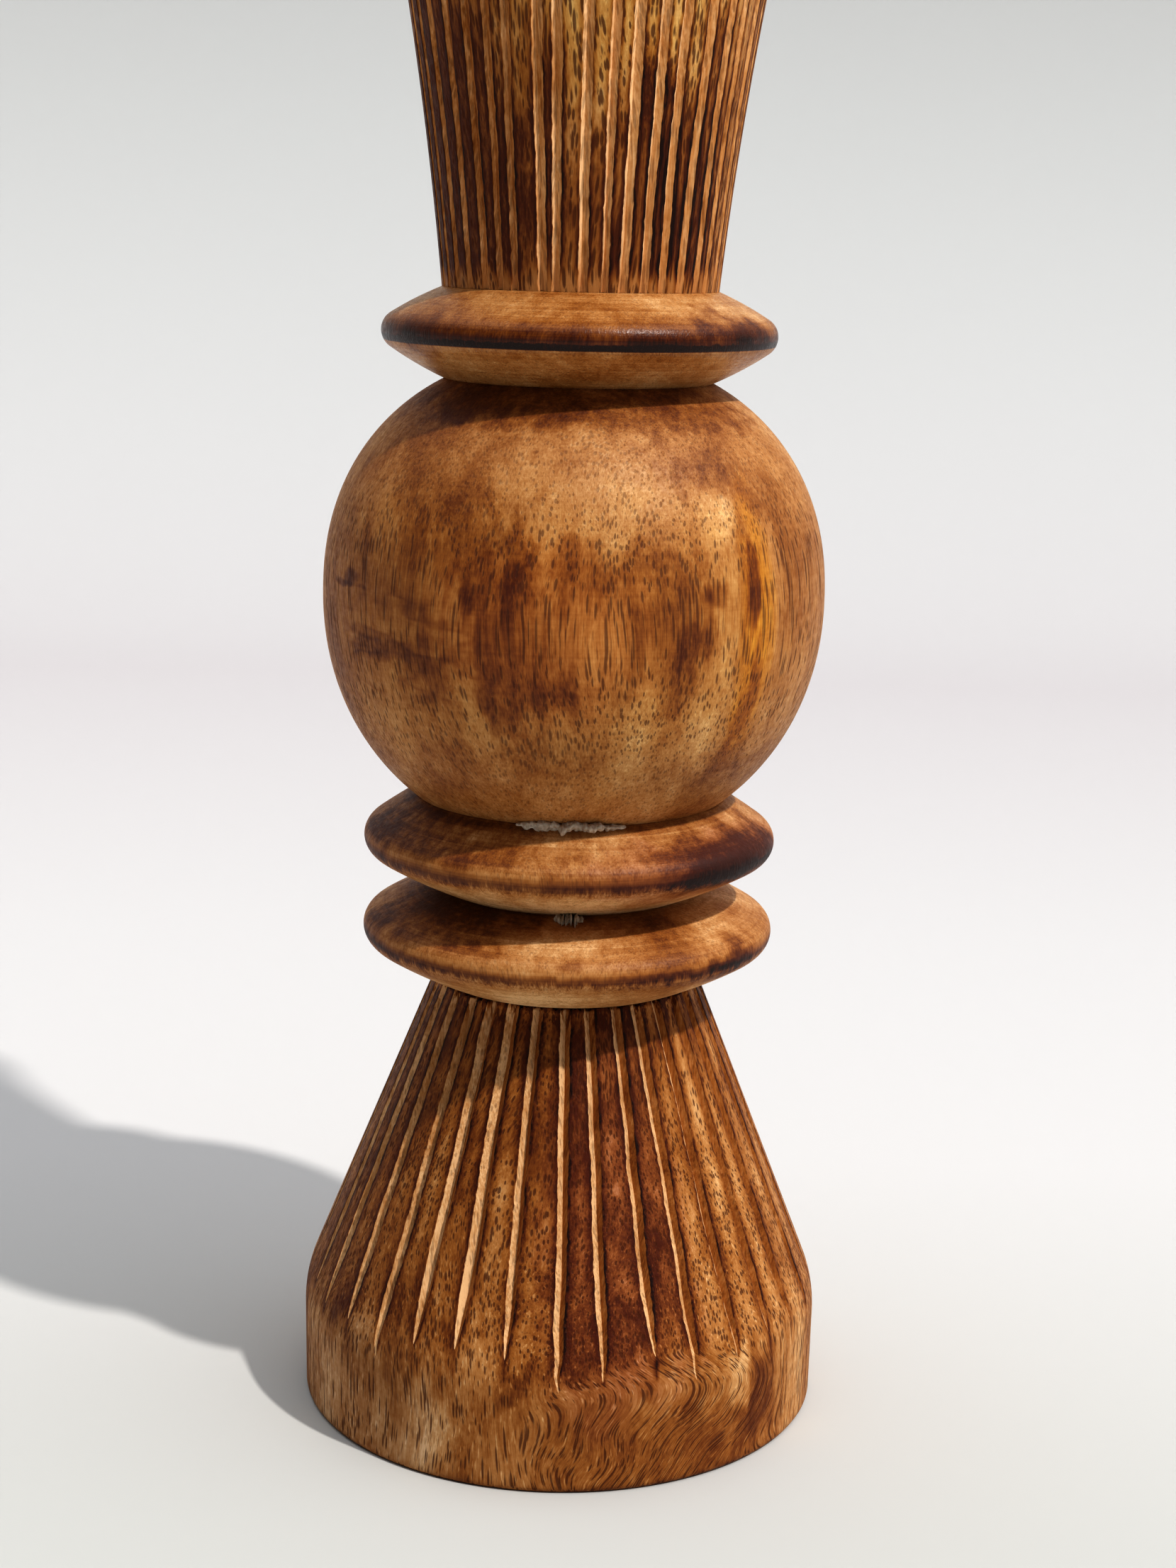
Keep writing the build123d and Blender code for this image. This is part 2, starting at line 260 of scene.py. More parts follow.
def top_land(side, bore, step=LAND_STEP):
    """The flat top of a block, from its side in to its bore."""
    return straight(side[-1], (bore, side[-1][1]), step)[1:]


def turned_block(name, below, side, above, columns, uneven, poles=None):
    """A block of revolution. Its side is uneven, and its lands and bores, below and above, are true."""
    radius, angle, height = around(below + side + above, columns)
    rows = slice(len(below), len(below) + len(side))
    radius[rows] += unevenness(angle[rows], height[rows], uneven)
    return ring_mesh(name, to_points(radius, angle, height), poles)


def smooth_noise(length, reach, rng):
    """A smooth random curve of the given length, about -1 to 1, that changes over about reach steps."""
    knots = rng.uniform(-1, 1, int(length / reach) + 4)
    place = np.arange(length) / reach + rng.uniform(0, 1)
    low = place.astype(int)
    f = place - low
    f = f * f * (3 - 2 * f)
    return knots[low] * (1 - f) + knots[low + 1] * f


def fluted(outline, grooves, columns_per_land):
    """Grids of a fluted side: radius, angle, height, distance from the nearest arris and side of the groove.

    grooves has the left widths, right widths, depths and centre angles, each with one row per flute. The
    distance is negative inside a groove. The side is -1 left of a groove's bottom and 1 right of it.
    """
    outline = np.array(outline)
    left, right, depth, centre = grooves
    count = len(centre)
    slope = np.gradient(outline, axis=0)
    slope /= np.hypot(slope[:, 0], slope[:, 1])[:, None]
    inward = np.stack([-slope[:, 1], slope[:, 0]], axis=1)
    radius_of = outline[:, 0]
    radii, angles, heights, cuts = [], [], [], []
    land = 0.5 - 0.5 * np.cos(np.linspace(0, math.pi, columns_per_land + 2)[1:-1])
    for i in range(count):
        following = (i + 1) % count
        turn = 2 * math.pi if following == 0 else 0.0
        for across, share in GROOVE_SECTION:
            width = left[i] if across < 0 else right[i]
            down = depth[i] * share
            radii.append(radius_of + inward[:, 0] * down)
            heights.append(outline[:, 1] + inward[:, 1] * down)
            angles.append(centre[i] + across * width / radius_of)
            cuts.append(-(1 - abs(across)) * width)
        start = centre[i] + right[i] / radius_of
        end = centre[following] + turn - left[following] / radius_of
        for f in land:
            angles.append(start * (1 - f) + end * f)
            radii.append(radius_of.copy())
            heights.append(outline[:, 1].copy())
            cuts.append(np.minimum(f, 1 - f) * (end - start) * radius_of)
    wall_sides = [-1.0 if across < 0 else 1.0 for across, _ in GROOVE_SECTION]
    hands = np.tile(np.concatenate([wall_sides, np.linspace(1, -1, columns_per_land)]), count)
    grids = [np.stack(g, axis=1) for g in (radii, angles, heights, cuts)]
    return (*grids, np.broadcast_to(hands, grids[0].shape))


def with_ends(below, side, above):
    """Joins a fluted side's (radius, angle, height) grids to turned ends with the same columns."""
    columns = side[1].shape[1]
    low, high = around(below, columns), around(above, columns)
    low[1][:], high[1][:] = side[1][0], side[1][-1]
    return [np.concatenate(parts) for parts in zip(low, side, high)]


def groove_attributes(below, cut, hand, above):
    """The fluted side's mesh attributes, with plain values on its turned ends."""
    rows = ((len(below), len(above)), (0, 0))
    return {"cut": np.pad(cut, rows, constant_values=FAR_FROM_GROOVES), "hand": np.pad(hand, rows)}


# --- Material graphs. Places in them are in mm, azimuths in degrees and heights above the piece's foot ---


class Field:
    """A value that varies over the surface: a node's output, with arithmetic that adds nodes."""

    def __init__(self, graph, socket):
        self.graph, self.socket = graph, socket

    def math(self, operation, *others, clamp=False):
        return self.graph.math(operation, self, *others, clamp=clamp)

    def __add__(self, other):
        return self.math("ADD", other)

    def __sub__(self, other):
        return self.math("SUBTRACT", other)

    def __rsub__(self, other):
        return self.graph.math("SUBTRACT", other, self)

    def __mul__(self, other):
        return self.math("MULTIPLY", other)

    def __truediv__(self, other):
        return self.math("DIVIDE", other)

    __radd__, __rmul__ = __add__, __mul__

    def clamp(self):
        return self.math("ADD", 0.0, clamp=True)

    def kept_between(self, low, high):
        """Cut off at low, and softly at high."""
        return self.math("MAXIMUM", low).math("SMOOTH_MIN", high, 0.15)

    def between(self, start, end):
        """0 before start and 1 after end, smoothly. start may be the larger."""
        inputs = {"Value": self, "From Min": start, "From Max": end}
        return self.graph.node("ShaderNodeMapRange", inputs, interpolation_type="SMOOTHSTEP")

    def band(self, centre, half_width):
        """1 at centre, falling smoothly to 0 at half_width away."""
        return ((self - centre) * (1 / half_width)).math("ABSOLUTE").between(1, 0)


class Graph:
    """The nodes of a new material or world."""

    def __init__(self, owner):
        owner.use_nodes = True
        self.owner, self.tree = owner, owner.node_tree
        self.tree.nodes.clear()

    def node(self, kind, inputs, output=0, **settings):
        made = self.tree.nodes.new(kind)
        for key, value in settings.items():
            setattr(made, key, value)
        for key, value in inputs.items():
            if isinstance(value, Field):
                self.tree.links.new(value.socket, made.inputs[key])
            else:
                made.inputs[key].default_value = value
        return Field(self, made.outputs[output])

    def math(self, operation, *values, clamp=False):
        return self.node("ShaderNodeMath", dict(enumerate(values)), operation=operation, use_clamp=clamp)

    def vector_math(self, operation, *values, output=0):
        return self.node("ShaderNodeVectorMath", dict(enumerate(values)), output, operation=operation)

    def combine(self, x, y, z):
        return self.node("ShaderNodeCombineXYZ", {"X": x, "Y": y, "Z": z})

    def split(self, vector):
        return [self.node("ShaderNodeSeparateXYZ", {"Vector": vector}, i) for i in range(3)]

    def point_in_mm(self):
        """The shaded point, in the object's own axes."""
        point = self.node("ShaderNodeTexCoord", {}, "Object")
        return self.vector_math("MULTIPLY", point, (1 / MM,) * 3)

    def stretch(self, place, x, y, z, shift):
        """place in units of x, y and z mm, moved by shift."""
        scaled = self.vector_math("MULTIPLY", place, (1 / x, 1 / y, 1 / z))
        return self.vector_math("ADD", scaled, shift)

    def noise(self, place, detail=2.0, roughness=0.5, distortion=0.0, output=0):
        inputs = {"Vector": place, "Scale": 1.0, "Detail": detail, "Roughness": roughness,
                  "Distortion": distortion}
        return self.node("ShaderNodeTexNoise", inputs, output)

    def cells(self, place, output="Distance"):
        return self.node("ShaderNodeTexVoronoi", {"Vector": place, "Scale": 1.0, "Randomness": 1.0}, output)

    def attribute(self, name):
        return self.node("ShaderNodeAttribute", {}, "Fac", attribute_name=name)

    def mix(self, amount, a, b, blend="MIX"):
        """A colour between a and b, or a blended with b. The node's colours are its sockets 6, 7 and 2."""
        return self.node("ShaderNodeMix", {0: amount, 6: a, 7: b}, 2, data_type="RGBA", blend_type=blend)

    def ramp(self, value, stops):
        """Colours by value: stops lists (value, colour)."""
        made = self.tree.nodes.new("ShaderNodeValToRGB")
        self.tree.links.new(value.socket, made.inputs[0])
        elements = made.color_ramp.elements
        while len(elements) < len(stops):
            elements.new(0.5)
        for element, (place, colour) in zip(elements, stops):
            element.position = place
            element.color = (*colour, 1)
        return Field(self, made.outputs[0])

    def shown(self, kind, shader):
        """Ends the graph in an output node of the given kind, and gives back the material or world."""
        output = self.tree.nodes.new(kind)
        self.tree.links.new(shader.socket, output.inputs["Surface"])
        return self.owner

    def surface(self, inputs, height):
        """The finished material. height is the bump, in mm."""
        normal = self.node("ShaderNodeBump", {"Height": height, "Distance": MM, "Strength": 1.0})
        shader = self.node("ShaderNodeBsdfPrincipled", {**inputs, "Normal": normal})
        return self.shown("ShaderNodeOutputMaterial", shader)


WOOD_TONES = (
    (0.00, (0.78, 0.50, 0.25)),
    (0.12, (0.60, 0.33, 0.135)),
    (0.27, (0.48, 0.222, 0.069)),
    (0.45, (0.33, 0.120, 0.023)),
    (0.62, (0.195, 0.056, 0.009)),
    (0.80, (0.082, 0.015, 0.003)),
    (1.00, (0.016, 0.004, 0.002)),
)
DARKEST_UNBURNT = 0.80
PORE_COLOUR = (0.075, 0.016, 0.004, 1)
RAW_TINT, CORONET_RAW_TINT = (1.0, 1.0, 1.05, 1), (1.22, 1.24, 1.34, 1)
MIDDLE_TONE = 0.37
VESSEL_GAP, FINE_VESSEL_GAP = 0.60, 0.43
GLOSS, CARVED_GLOSS = 0.26, 0.12
ROUGHNESS, COLLAR_ROUGHNESS = 0.50, 0.32


class Wood(Graph):
    """Mango wood with upright vessels. Tone runs from 0, pale, to 1, scorched."""

    def __init__(self, name, node, seed, streaky=0.60, turned=0.0, open_pores=0.0, vessel_length=20.0,
                 swirl=None):
        """streaky and turned are the strengths of the streaks and of the lathe's rings. open_pores widens the
        vessels. swirl is an oval where the grain leans: (azimuth, height, half width, half height, lean)."""
        super().__init__(bpy.data.materials.new(name))
        self.shift = tuple(np.random.default_rng(seed).uniform(-50, 50, 3))
        self.place = self.point_in_mm()
        self.x, self.y, z = self.split(self.place)
        self.height = z - span(node)[0]
        self.radius = (self.x * self.x + self.y * self.y).math("SQRT")
        self.azimuth = self.x.math("ARCTAN2", self.y * -1.0) * math.degrees(1)
        self.grain = self.place
        for size, length, sideways in ((42, 70, 16), (5, 16, 1.1)):
            self.sway(size, length, sideways)
        if swirl:
            streaky = (1 - self.lean_grain(*swirl) * 0.55) * streaky
        self.vessels(open_pores, vessel_length)
        self.tone = self.own_tone(streaky)
        rings = self.noise(self.combine(self.radius * 1.5, z * 1.5, self.azimuth * 0.012), 3.0, 0.6)
        self.rings = rings - 0.5
        self.tone = self.tone + self.rings * turned
        self.char = 0.0
        self.raw = None
        self.tints = []

    def sway(self, size, length, sideways):
        """Bends the grain by up to about half of sideways, in mm, in waves of the given size and length."""
        wave = self.noise(self.stretch(self.place, size, size, length, self.shift), 1.0, output="Color")
        wave = self.vector_math("SUBTRACT", wave, (0.5,) * 3)
        wave = self.vector_math("MULTIPLY", wave, (sideways, sideways, 0))
        self.grain = self.vector_math("ADD", self.grain, wave)

    def oval(self, azimuth, height, wide, tall, ragged=(0.0, 0.0)):
        """The squared distance from an oval's centre: 1 on its edge. ragged shifts it both ways."""
        across = (self.azimuth - azimuth) * (1 / wide) + ragged[0]
        along = (self.height - height) * (1 / tall) + ragged[1]
        return across * across + along * along

    def lean_grain(self, azimuth, height, wide, tall, lean):
        """Leans and curls the grain in an oval, and gives back how far a point lies inside it."""
        region = self.oval(azimuth, height, wide, tall).between(1.2, 0.1)
        curl = self.noise(self.stretch(self.place, 24, 24, 17, self.shift), 1.0) - 0.5
        shift = ((self.height - height) * lean + curl * 18) * region / self.radius
        sideways = self.combine(self.y * shift, self.x * shift * -1.0, 0.0)
        self.grain = self.vector_math("ADD", self.grain, sideways)
        return region

    def vessels(self, open_pores, vessel_length):
        """Dark upright pores of two sizes, more crowded in some zones than in others."""
        where = self.stretch(self.grain, VESSEL_GAP, VESSEL_GAP, vessel_length, self.shift)
        chance = self.split(self.cells(where, "Color"))[0]
        crowding = self.noise(self.stretch(self.grain, 6, 6, 50, self.shift), 2.0)
        size = (chance * 0.16 + crowding * 0.36 + (0.02 + open_pores)).math("MAXIMUM", 0.01)
        large = (self.cells(where) / size).between(1.2, 0.7)
        where = self.stretch(self.grain, FINE_VESSEL_GAP, FINE_VESSEL_GAP, vessel_length * 0.6, self.shift)
        fine = (self.cells(where) / (crowding * 0.5)).between(1.0, 0.5) * 0.55
        self.pore = large.math("MAXIMUM", fine)

    def own_tone(self, streaky):
        """The tone of the bare wood, from broad zones down to fibres."""
        zones = self.noise(self.stretch(self.grain, 21, 21, 90, self.shift), 2.0, 0.55, 0.6)
        streaks = self.noise(self.stretch(self.grain, 1.9, 1.9, 48, self.shift), 3.0, 0.6)
        fibres = self.noise(self.stretch(self.grain, 0.28, 0.28, 7, self.shift), 2.0, 0.6)
        blotches = self.noise(self.stretch(self.place, 9, 9, 15, self.shift), 4.0, 0.55, 0.6)
        mottle = self.noise(self.stretch(self.place, 0.9, 0.9, 1.3, self.shift), 2.0, 0.6)
        self.fibres, self.mottle, self.streaks, self.blotches = fibres, mottle, streaks, blotches
        tone = (zones - 0.5) * 0.80 + (streaks - 0.5) * streaky + (fibres - 0.5) * 0.42
        return tone + (blotches - 0.5) * 0.34 + (mottle - 0.5) * 0.24 + MIDDLE_TONE

    def patches(self, patches, edge=1.6):
        """Adds stains, or painted shade where a comment says so: (azimuth, height, half width in degrees,
        half height, change of tone).

        edge is how far their outline strays, as a share of their size.
        """
        warp = self.noise(self.stretch(self.place, 7, 7, 15, self.shift), 4.0, 0.5, output="Color")
        ragged = [(part - 0.5) * (2 * edge) for part in self.split(warp)[:2]]
        streaky = self.streaks * 1.2 + 0.4
        for *oval, change in patches:
            self.tone = self.tone + self.oval(*oval, ragged).between(1.5, 0.1) * streaky * change

    def tint(self, azimuth, height, wide, tall, colour):
        """Multiplies the colour in a soft oval."""
        ragged = ((self.streaks - 0.5) * 0.8, (self.blotches - 0.5) * 1.2)
        self.tints.append((self.oval(azimuth, height, wide, tall, ragged).between(1.5, 0.1), (*colour, 1)))

    def veins(self, azimuth, height, wide, tall, change):
        """Thin wavy dark lines in part of the surface."""
        field = self.noise(self.stretch(self.place, 17, 17, 6, self.shift), 1.5, 0.45)
        region = self.oval(azimuth, height, wide, tall).between(1.3, 0.5)
        lines = field.band(0.52, 0.030) + field.band(0.43, 0.022) * 0.6
        shade = field.between(0.47, 0.52) - field.between(0.52, 0.66)
        self.tone = self.tone + (lines * change + shade * 0.09) * region

    def finish(self, roughness=ROUGHNESS, gloss=GLOSS, raw_tint=RAW_TINT):
        """The material: pores darken and dent the surface, and raw wood is duller."""
        tone = self.tone.kept_between(0.0, DARKEST_UNBURNT)
        colour = self.ramp((tone + self.char).clamp(), WOOD_TONES)
        for mask, tint in self.tints:
            if self.raw is not None:
                mask = mask * (1 - self.raw)
            colour = self.mix(mask, colour, tint, "MULTIPLY")
        rough = roughness + (self.mottle - 0.5) * 0.45 + self.pore * 0.2
        if self.raw is not None:
            colour = self.mix(self.raw, colour, raw_tint, "MULTIPLY")
            rough = rough + self.raw * 0.3
        colour = self.mix(self.pore * 0.82, colour, PORE_COLOUR)
        height = self.pore * -0.07 + self.fibres * 0.06 + self.mottle * 0.035 + self.rings * 0.04
        return self.surface({"Base Color": colour, "Roughness": rough, "Specular IOR Level": gloss}, height)


# --- Pieces ---


def add_piece(piece, node, material, sharp_angle=32.0):
    """Shows a mesh in place of a CAD node."""
    shade(piece, sharp_angle)
    piece.data.materials.append(material)
    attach(piece, "root")
    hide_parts(node)


def groove_set(tips, heights, left, right, depth, run_out, jitter, wobble, top=None):
    """Each flute's hand-cut course: its widths, depths and centre angles on every row.

    A flute runs out over run_out mm at its tip, and at top where it has one. jitter moves whole flutes, as a
    share of their spacing, and wobble bends them, in radians.
    """
    count, rows = len(tips), len(heights)
    courses = []
    for i, tip in enumerate(tips):
        own = np.random.default_rng(1000 * count + i)
        opened = np.clip((heights - tip) / run_out, 0, 1)
        if top is not None:
            opened = np.minimum(opened, np.clip((top + own.uniform(-3, 3) - heights) / run_out, 0, 1))
        width = own.uniform(*HAND_SPREAD)
        jag_left, jag_right = (
            own.uniform(-1, 1, rows) * 0.5 + smooth_noise(rows, 2.5, own) for _ in range(2))
        slow = smooth_noise(rows, 22, own) * 0.10
        open_width = np.sqrt(opened)
        wide_left = (left * width * (1 + slow) + jag_left * 0.10) * open_width
        wide_right = (right * width * (1 - slow) + jag_right * 0.10) * open_width
        deep = depth * own.uniform(*HAND_SPREAD) * (1 + 0.12 * smooth_noise(rows, 12, own))
        centre = -math.pi + 2 * math.pi * (i + own.uniform(-jitter, jitter)) / count
        drift = smooth_noise(rows, 60, own) * wobble * 1.5 + smooth_noise(rows, 14, own) * wobble
        wide_left, wide_right = (np.maximum(NARROWEST_GROOVE, wide) for wide in (wide_left, wide_right))
        courses.append((wide_left, wide_right, deep * opened ** 0.8, centre + drift))
    return list(zip(*courses))


def fluted_base():
    foot, top = span("fluted_base")
    band_foot = (FOOT_RADIUS, foot)
    crest, shoulder = (CREST_RADIUS, foot + CREST_HEIGHT), (BASE_TOP_RADIUS, top)
    heel = rounded_corner((0, foot), band_foot, crest, FOOT_ROUND, 5)
    bend = rounded_corner(band_foot, crest, shoulder, CREST_ROUND, 44)
    side = heel + straight(heel[-1], bend[0], BAND_STEP)[1:-1] + bend
    side += straight(bend[-1], shoulder, CONE_STEP)[1:]
    heights = np.array(side)[:, 1]
    tips = foot + random.uniform(*BASE_FLUTE_TIPS, BASE_FLUTE_COUNT)
    grooves = groove_set(tips, heights, left=1.20, right=1.05, depth=1.1, run_out=11.0,
                         jitter=0.10, wobble=0.0035)
    radius, angle, height, cut, hand = fluted(side, grooves, BASE_COLUMNS_PER_LAND)
    # The columns, crowded at the grooves, spread out evenly on the plain band below
    columns = angle.shape[1]
    even = -math.pi + 2 * math.pi * (np.arange(columns) / columns - 0.25 / BASE_FLUTE_COUNT)
    evened = 1 - np.clip((heights - foot - EVEN_COLUMNS_BELOW) / EVENING_REACH, 0, 1)[:, None]
    angle = angle * (1 - evened) + even * evened
    radius += unevenness(angle, height, 0.10)
    chips = np.random.default_rng(7).normal(CHIP_DEPTH, CHIP_SPREAD, columns)
    height[-1] -= np.maximum(0, chips)
    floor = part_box("base_felt")[1].z / MM
    bore_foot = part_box("lower_dowel")[0].z / MM
    below = [(FELT_RECESS_RADIUS * 0.5, floor), (FELT_RECESS_RADIUS, floor), (FELT_RECESS_RADIUS, foot)]
    above = [(LOWER_BORE, top), (LOWER_BORE, bore_foot)]
    rings = to_points(*with_ends(below, (radius, angle, height), above))
    piece = ring_mesh("fluted_base_wood", rings, [(0, 0, floor), (0, 0, bore_foot)],
                      groove_attributes(below, cut, hand, above))
    add_piece(piece, "fluted_base", base_wood(top - foot))


def base_wood(base_height):
    wood = Wood("base_wood", "fluted_base", 3, open_pores=0.06, vessel_length=9.0,
                swirl=(26, 9, 34, 15, 1.0))
    wood.patches([
        (-62, 50, 30, 60, 0.10), (-25, 45, 14, 30, 0.05), (12, 45, 16, 36, 0.13), (26, 60, 12, 30, 0.08),
        (-8, 68, 22, 16, 0.14), (46, 50, 10, 30, -0.04), (5, 30, 24, 10, 0.12), (0, 79, 60, 8, 0.10),
        (-54, 8, 26, 16, -0.20), (-22, 7, 10, 12, -0.10), (8, 9, 12, 9, 0.08), (50, 11, 7, 9, 0.26),
        (42, 17, 4, 6, -0.25), (28, 8, 14, 8, 0.16),
    ])
    wood.tint(14, 48, 20, 36, (0.97, 0.88, 1.25))
    wood.tint(-52, 12, 30, 26, (0.95, 1.02, 1.25))
    above_crest = wood.height - CREST_HEIGHT
    wood.tone = wood.tone + (above_crest + (wood.streaks - 0.5) * 4).between(-1.5, 1.0) * 0.01
    lands = wood.noise(wood.combine(wood.azimuth * 0.15, wood.height * 0.012, 3.0), 1.0)
    wood.tone = wood.tone + (lands - 0.5) * above_crest.between(-1, 6) * 0.45
    pale_hairs = wood.noise(wood.stretch(wood.grain, 0.42, 0.42, 3.2, wood.shift), 1.0).between(0.62, 0.72)
    wood.tone = wood.tone - pale_hairs * wood.height.between(62, 34) * 0.20
    carve(wood, crest_height=CREST_HEIGHT - 2, edge_reach=0.75, soft_reach=2.2, burn=0.42, right_wall_painted_shade=0.42)
    # Painted shade: lands and grooves darker on the left, the side away from the sun.
    wood.patches([(-70, 66, 40, 50, 0.10)], edge=0.5)
    below_top = wood.height - base_height
    torn = (below_top + (wood.streaks - 0.5) * 5).between(-4.5, 0.0)
    cracks = (wood.streaks + (wood.fibres - 0.5) * 0.4).between(0.50, 0.62)
    wood.tone = wood.tone + torn * (cracks * 0.55 - 0.12) + below_top.between(-1.0, -0.3) * 0.25
    burnt_foot = (wood.height + wood.streaks * 3.0).between(3.4, 0.6)
    wood.tone = wood.tone + burnt_foot * 0.30
    return wood.finish(gloss=CARVED_GLOSS)


def carve(wood, crest_height, edge_reach, soft_reach, burn, right_wall_painted_shade):
    """Scorched lands with dark arrises, and raw wood in the grooves. Gives back the lands' soft dark edge.

    The reaches are in mm from an arris. Flutes below crest_height are not scorched. The last argument is
    painted shade: how much darker the wood is right of a groove's bottom, where the wall lies in shade.
    """
    cut, hand = wood.attribute("cut"), wood.attribute("hand")
    above_crest = wood.height - crest_height
    ragged = (wood.streaks - 0.5) * 0.5 + (wood.mottle - 0.5) * 0.45
    patchy = wood.noise(wood.stretch(wood.place, 2.2, 2.2, 5, wood.shift), 2.0, 0.6)
    patchy = patchy.between(0.36, 0.62) * 0.8 + 0.2
    arris = (cut + ragged * 1.6).between(edge_reach, 0.0) * (hand * 0.25 + 0.75) * patchy
    soft_edge = (cut + ragged * soft_reach).between(soft_reach, 0.1)
    wood.raw = cut.between(-0.02, -0.12)
    land = 1 - wood.raw
    raw_tone = 0.04 + (wood.fibres - 0.5) * 0.45 + (wood.streaks - 0.5) * 0.30 + (wood.mottle - 0.5) * 0.2
    # Painted shade: the wall right of each groove's bottom is made darker.
    raw_tone = raw_tone + hand.between(-0.2, 0.2) * right_wall_painted_shade + (wood.blotches - 0.5) * 0.5
    land_tone = wood.tone + soft_edge * 0.16 * above_crest.between(0, 8)
    wood.tone = land_tone * land + raw_tone * wood.raw
    wood.char = (wood.char + arris * above_crest.between(0, 2.5) * burn) * land
    wood.pore = wood.pore * (1 - wood.raw * 0.55)
    return soft_edge


def disc(name, low_radius, edge, high_radius, bulges, rim_round, bore, seed, painted_shade_reach=0.0):
    """A turned disc and its wood. edge is its rim, as a radius and a height above its foot. The last argument
    is the width of painted shade on its top round the block above it."""
    foot, top = span(name)
    edge_radius, edge_height = edge
    side = lens_outline((low_radius, foot), (edge_radius, foot + edge_height), (high_radius, top), bulges,
                        rim_round)
    piece = turned_block(name + "_wood", foot_land(side, bore), side, top_land(side, bore), columns=256,
                         uneven=0.12)
    wood = Wood(name + "_wood_grain", name, seed, streaky=0.40, turned=0.45)
    wood.pore = wood.pore * 0.30
    # Painted shade: the top darkens round the block above it, where the valley lies in shade; the side
    # towards the sun is left bare.
    if painted_shade_reach:
        inner = wood.radius.between(high_radius + painted_shade_reach, high_radius + painted_shade_reach * 0.4)
        inner = inner * wood.height.between(edge_height, edge_height + 2)
        wood.tone = wood.tone + inner * (1 - wood.azimuth.band(80, 45)) * 0.26
    return piece, wood


def lower_disc():
    piece, wood = disc("lower_disc", BASE_TOP_RADIUS, (DISC_EDGE_RADIUS, DISC_EDGE_HEIGHT), VALLEY_RADIUS,
                       LOWER_BULGES, DISC_RIM_ROUND, LOWER_BORE, seed=11, painted_shade_reach=10)
    rise = wood.height - DISC_EDGE_HEIGHT + (wood.streaks - 0.5) * 3.0 + (wood.fibres - 0.5) * 2.0
    rim = wood.radius.between(33.5, 38.6)
    wood.char = rise.band(-0.4, 1.7) * rim * 0.36
    wood.tone = wood.tone - 0.15 + rim * 0.12 - wood.height.between(7.5, 5.5) * 0.08
    # Painted shade: the stains at -72 and -48 degrees darken the top's left side, where the parts above cast
    # shadow.
    wood.patches([
        (52, 9, 9, 4, 0.30), (-72, 11, 14, 4, 0.24), (-48, 16, 46, 4, 0.28), (30, 14, 14, 3, 0.10),
    ])
    add_piece(piece, "lower_disc", wood.finish())


def middle_disc():
    piece, wood = disc("middle_disc", VALLEY_RADIUS, (DISC_EDGE_RADIUS, DISC_EDGE_HEIGHT), BALL_FOOT_RADIUS,
                       MIDDLE_BULGES, DISC_RIM_ROUND, LOWER_BORE, seed=12, painted_shade_reach=3)
    rise = wood.height - DISC_EDGE_HEIGHT + (wood.streaks - 0.5) * 2.6 + (wood.fibres - 0.5) * 2.0
    rim = wood.radius.between(33.0, 38.4)
    scorched = (wood.azimuth + (wood.blotches - 0.5) * 30).band(48, 46) * wood.radius.between(32, 37)
    wood.char = rise.band(-0.8, 2.0) * rim * 0.32 + rise.band(0.8, 3.6) * scorched * 0.14
    wood.tint(48, 10, 46, 6, (0.97, 0.90, 1.2))
    wood.tone = wood.tone - 0.13 + rim * 0.11 - wood.height.between(7.5, 5.5) * 0.10
    # Painted shade: the stains at -70 and -42 degrees darken the top's left side, in the ball's shadow.
    wood.patches([
        (50, 11, 36, 6, 0.30), (8, 10, 14, 2.5, 0.16), (-70, 12, 16, 4, 0.26), (62, 13, 18, 4, 0.18),
        (-42, 15, 50, 4, 0.28),
    ], edge=0.8)
    add_piece(piece, "middle_disc", wood.finish())


def collar_disc():
    piece, wood = disc("collar_disc", BALL_TOP_RADIUS, (COLLAR_EDGE_RADIUS, COLLAR_EDGE_HEIGHT),
                       CORONET_FOOT_RADIUS, COLLAR_BULGES, DISC_RIM_ROUND, UPPER_BORE, seed=13)
    ragged = wood.height - COLLAR_EDGE_HEIGHT + (wood.streaks - 0.5) * 1.6 + (wood.mottle - 0.5) * 0.8
    rim = wood.radius.between(31.5, 36.0)
    above = (wood.height - COLLAR_EDGE_HEIGHT).between(-1.9, -1.5)
    wood.char = above * (ragged.between(-0.5, -1.2) * 0.85 + ragged.between(2.6, -0.8) * 0.28) * rim
    wood.tone = wood.tone - 0.09 + rim * 0.08 + above * ragged.between(4.8, 0.0) * rim * 0.24
    wood.patches([(52, 11, 14, 3, 0.28), (-50, 10, 20, 4, 0.12), (5, 12, 18, 3, 0.06)])
    add_piece(piece, "collar_disc", wood.finish(roughness=COLLAR_ROUGHNESS))


def finial_disc():
    foot, top = span("finial_disc")
    middle = (top - foot) / 2
    piece, wood = disc("finial_disc", NECK_RADIUS, (FINIAL_DISC_EDGE_RADIUS, middle), NECK_RADIUS,
                       FINIAL_BULGES, DISC_RIM_ROUND / 2, FINIAL_BORE, seed=14)
    rise = wood.height - middle + (wood.streaks - 0.5) * 2
    wood.char = rise.band(0, 1.6) * wood.radius.between(16, 18.5) * 0.45
    add_piece(piece, "finial_disc", wood.finish())


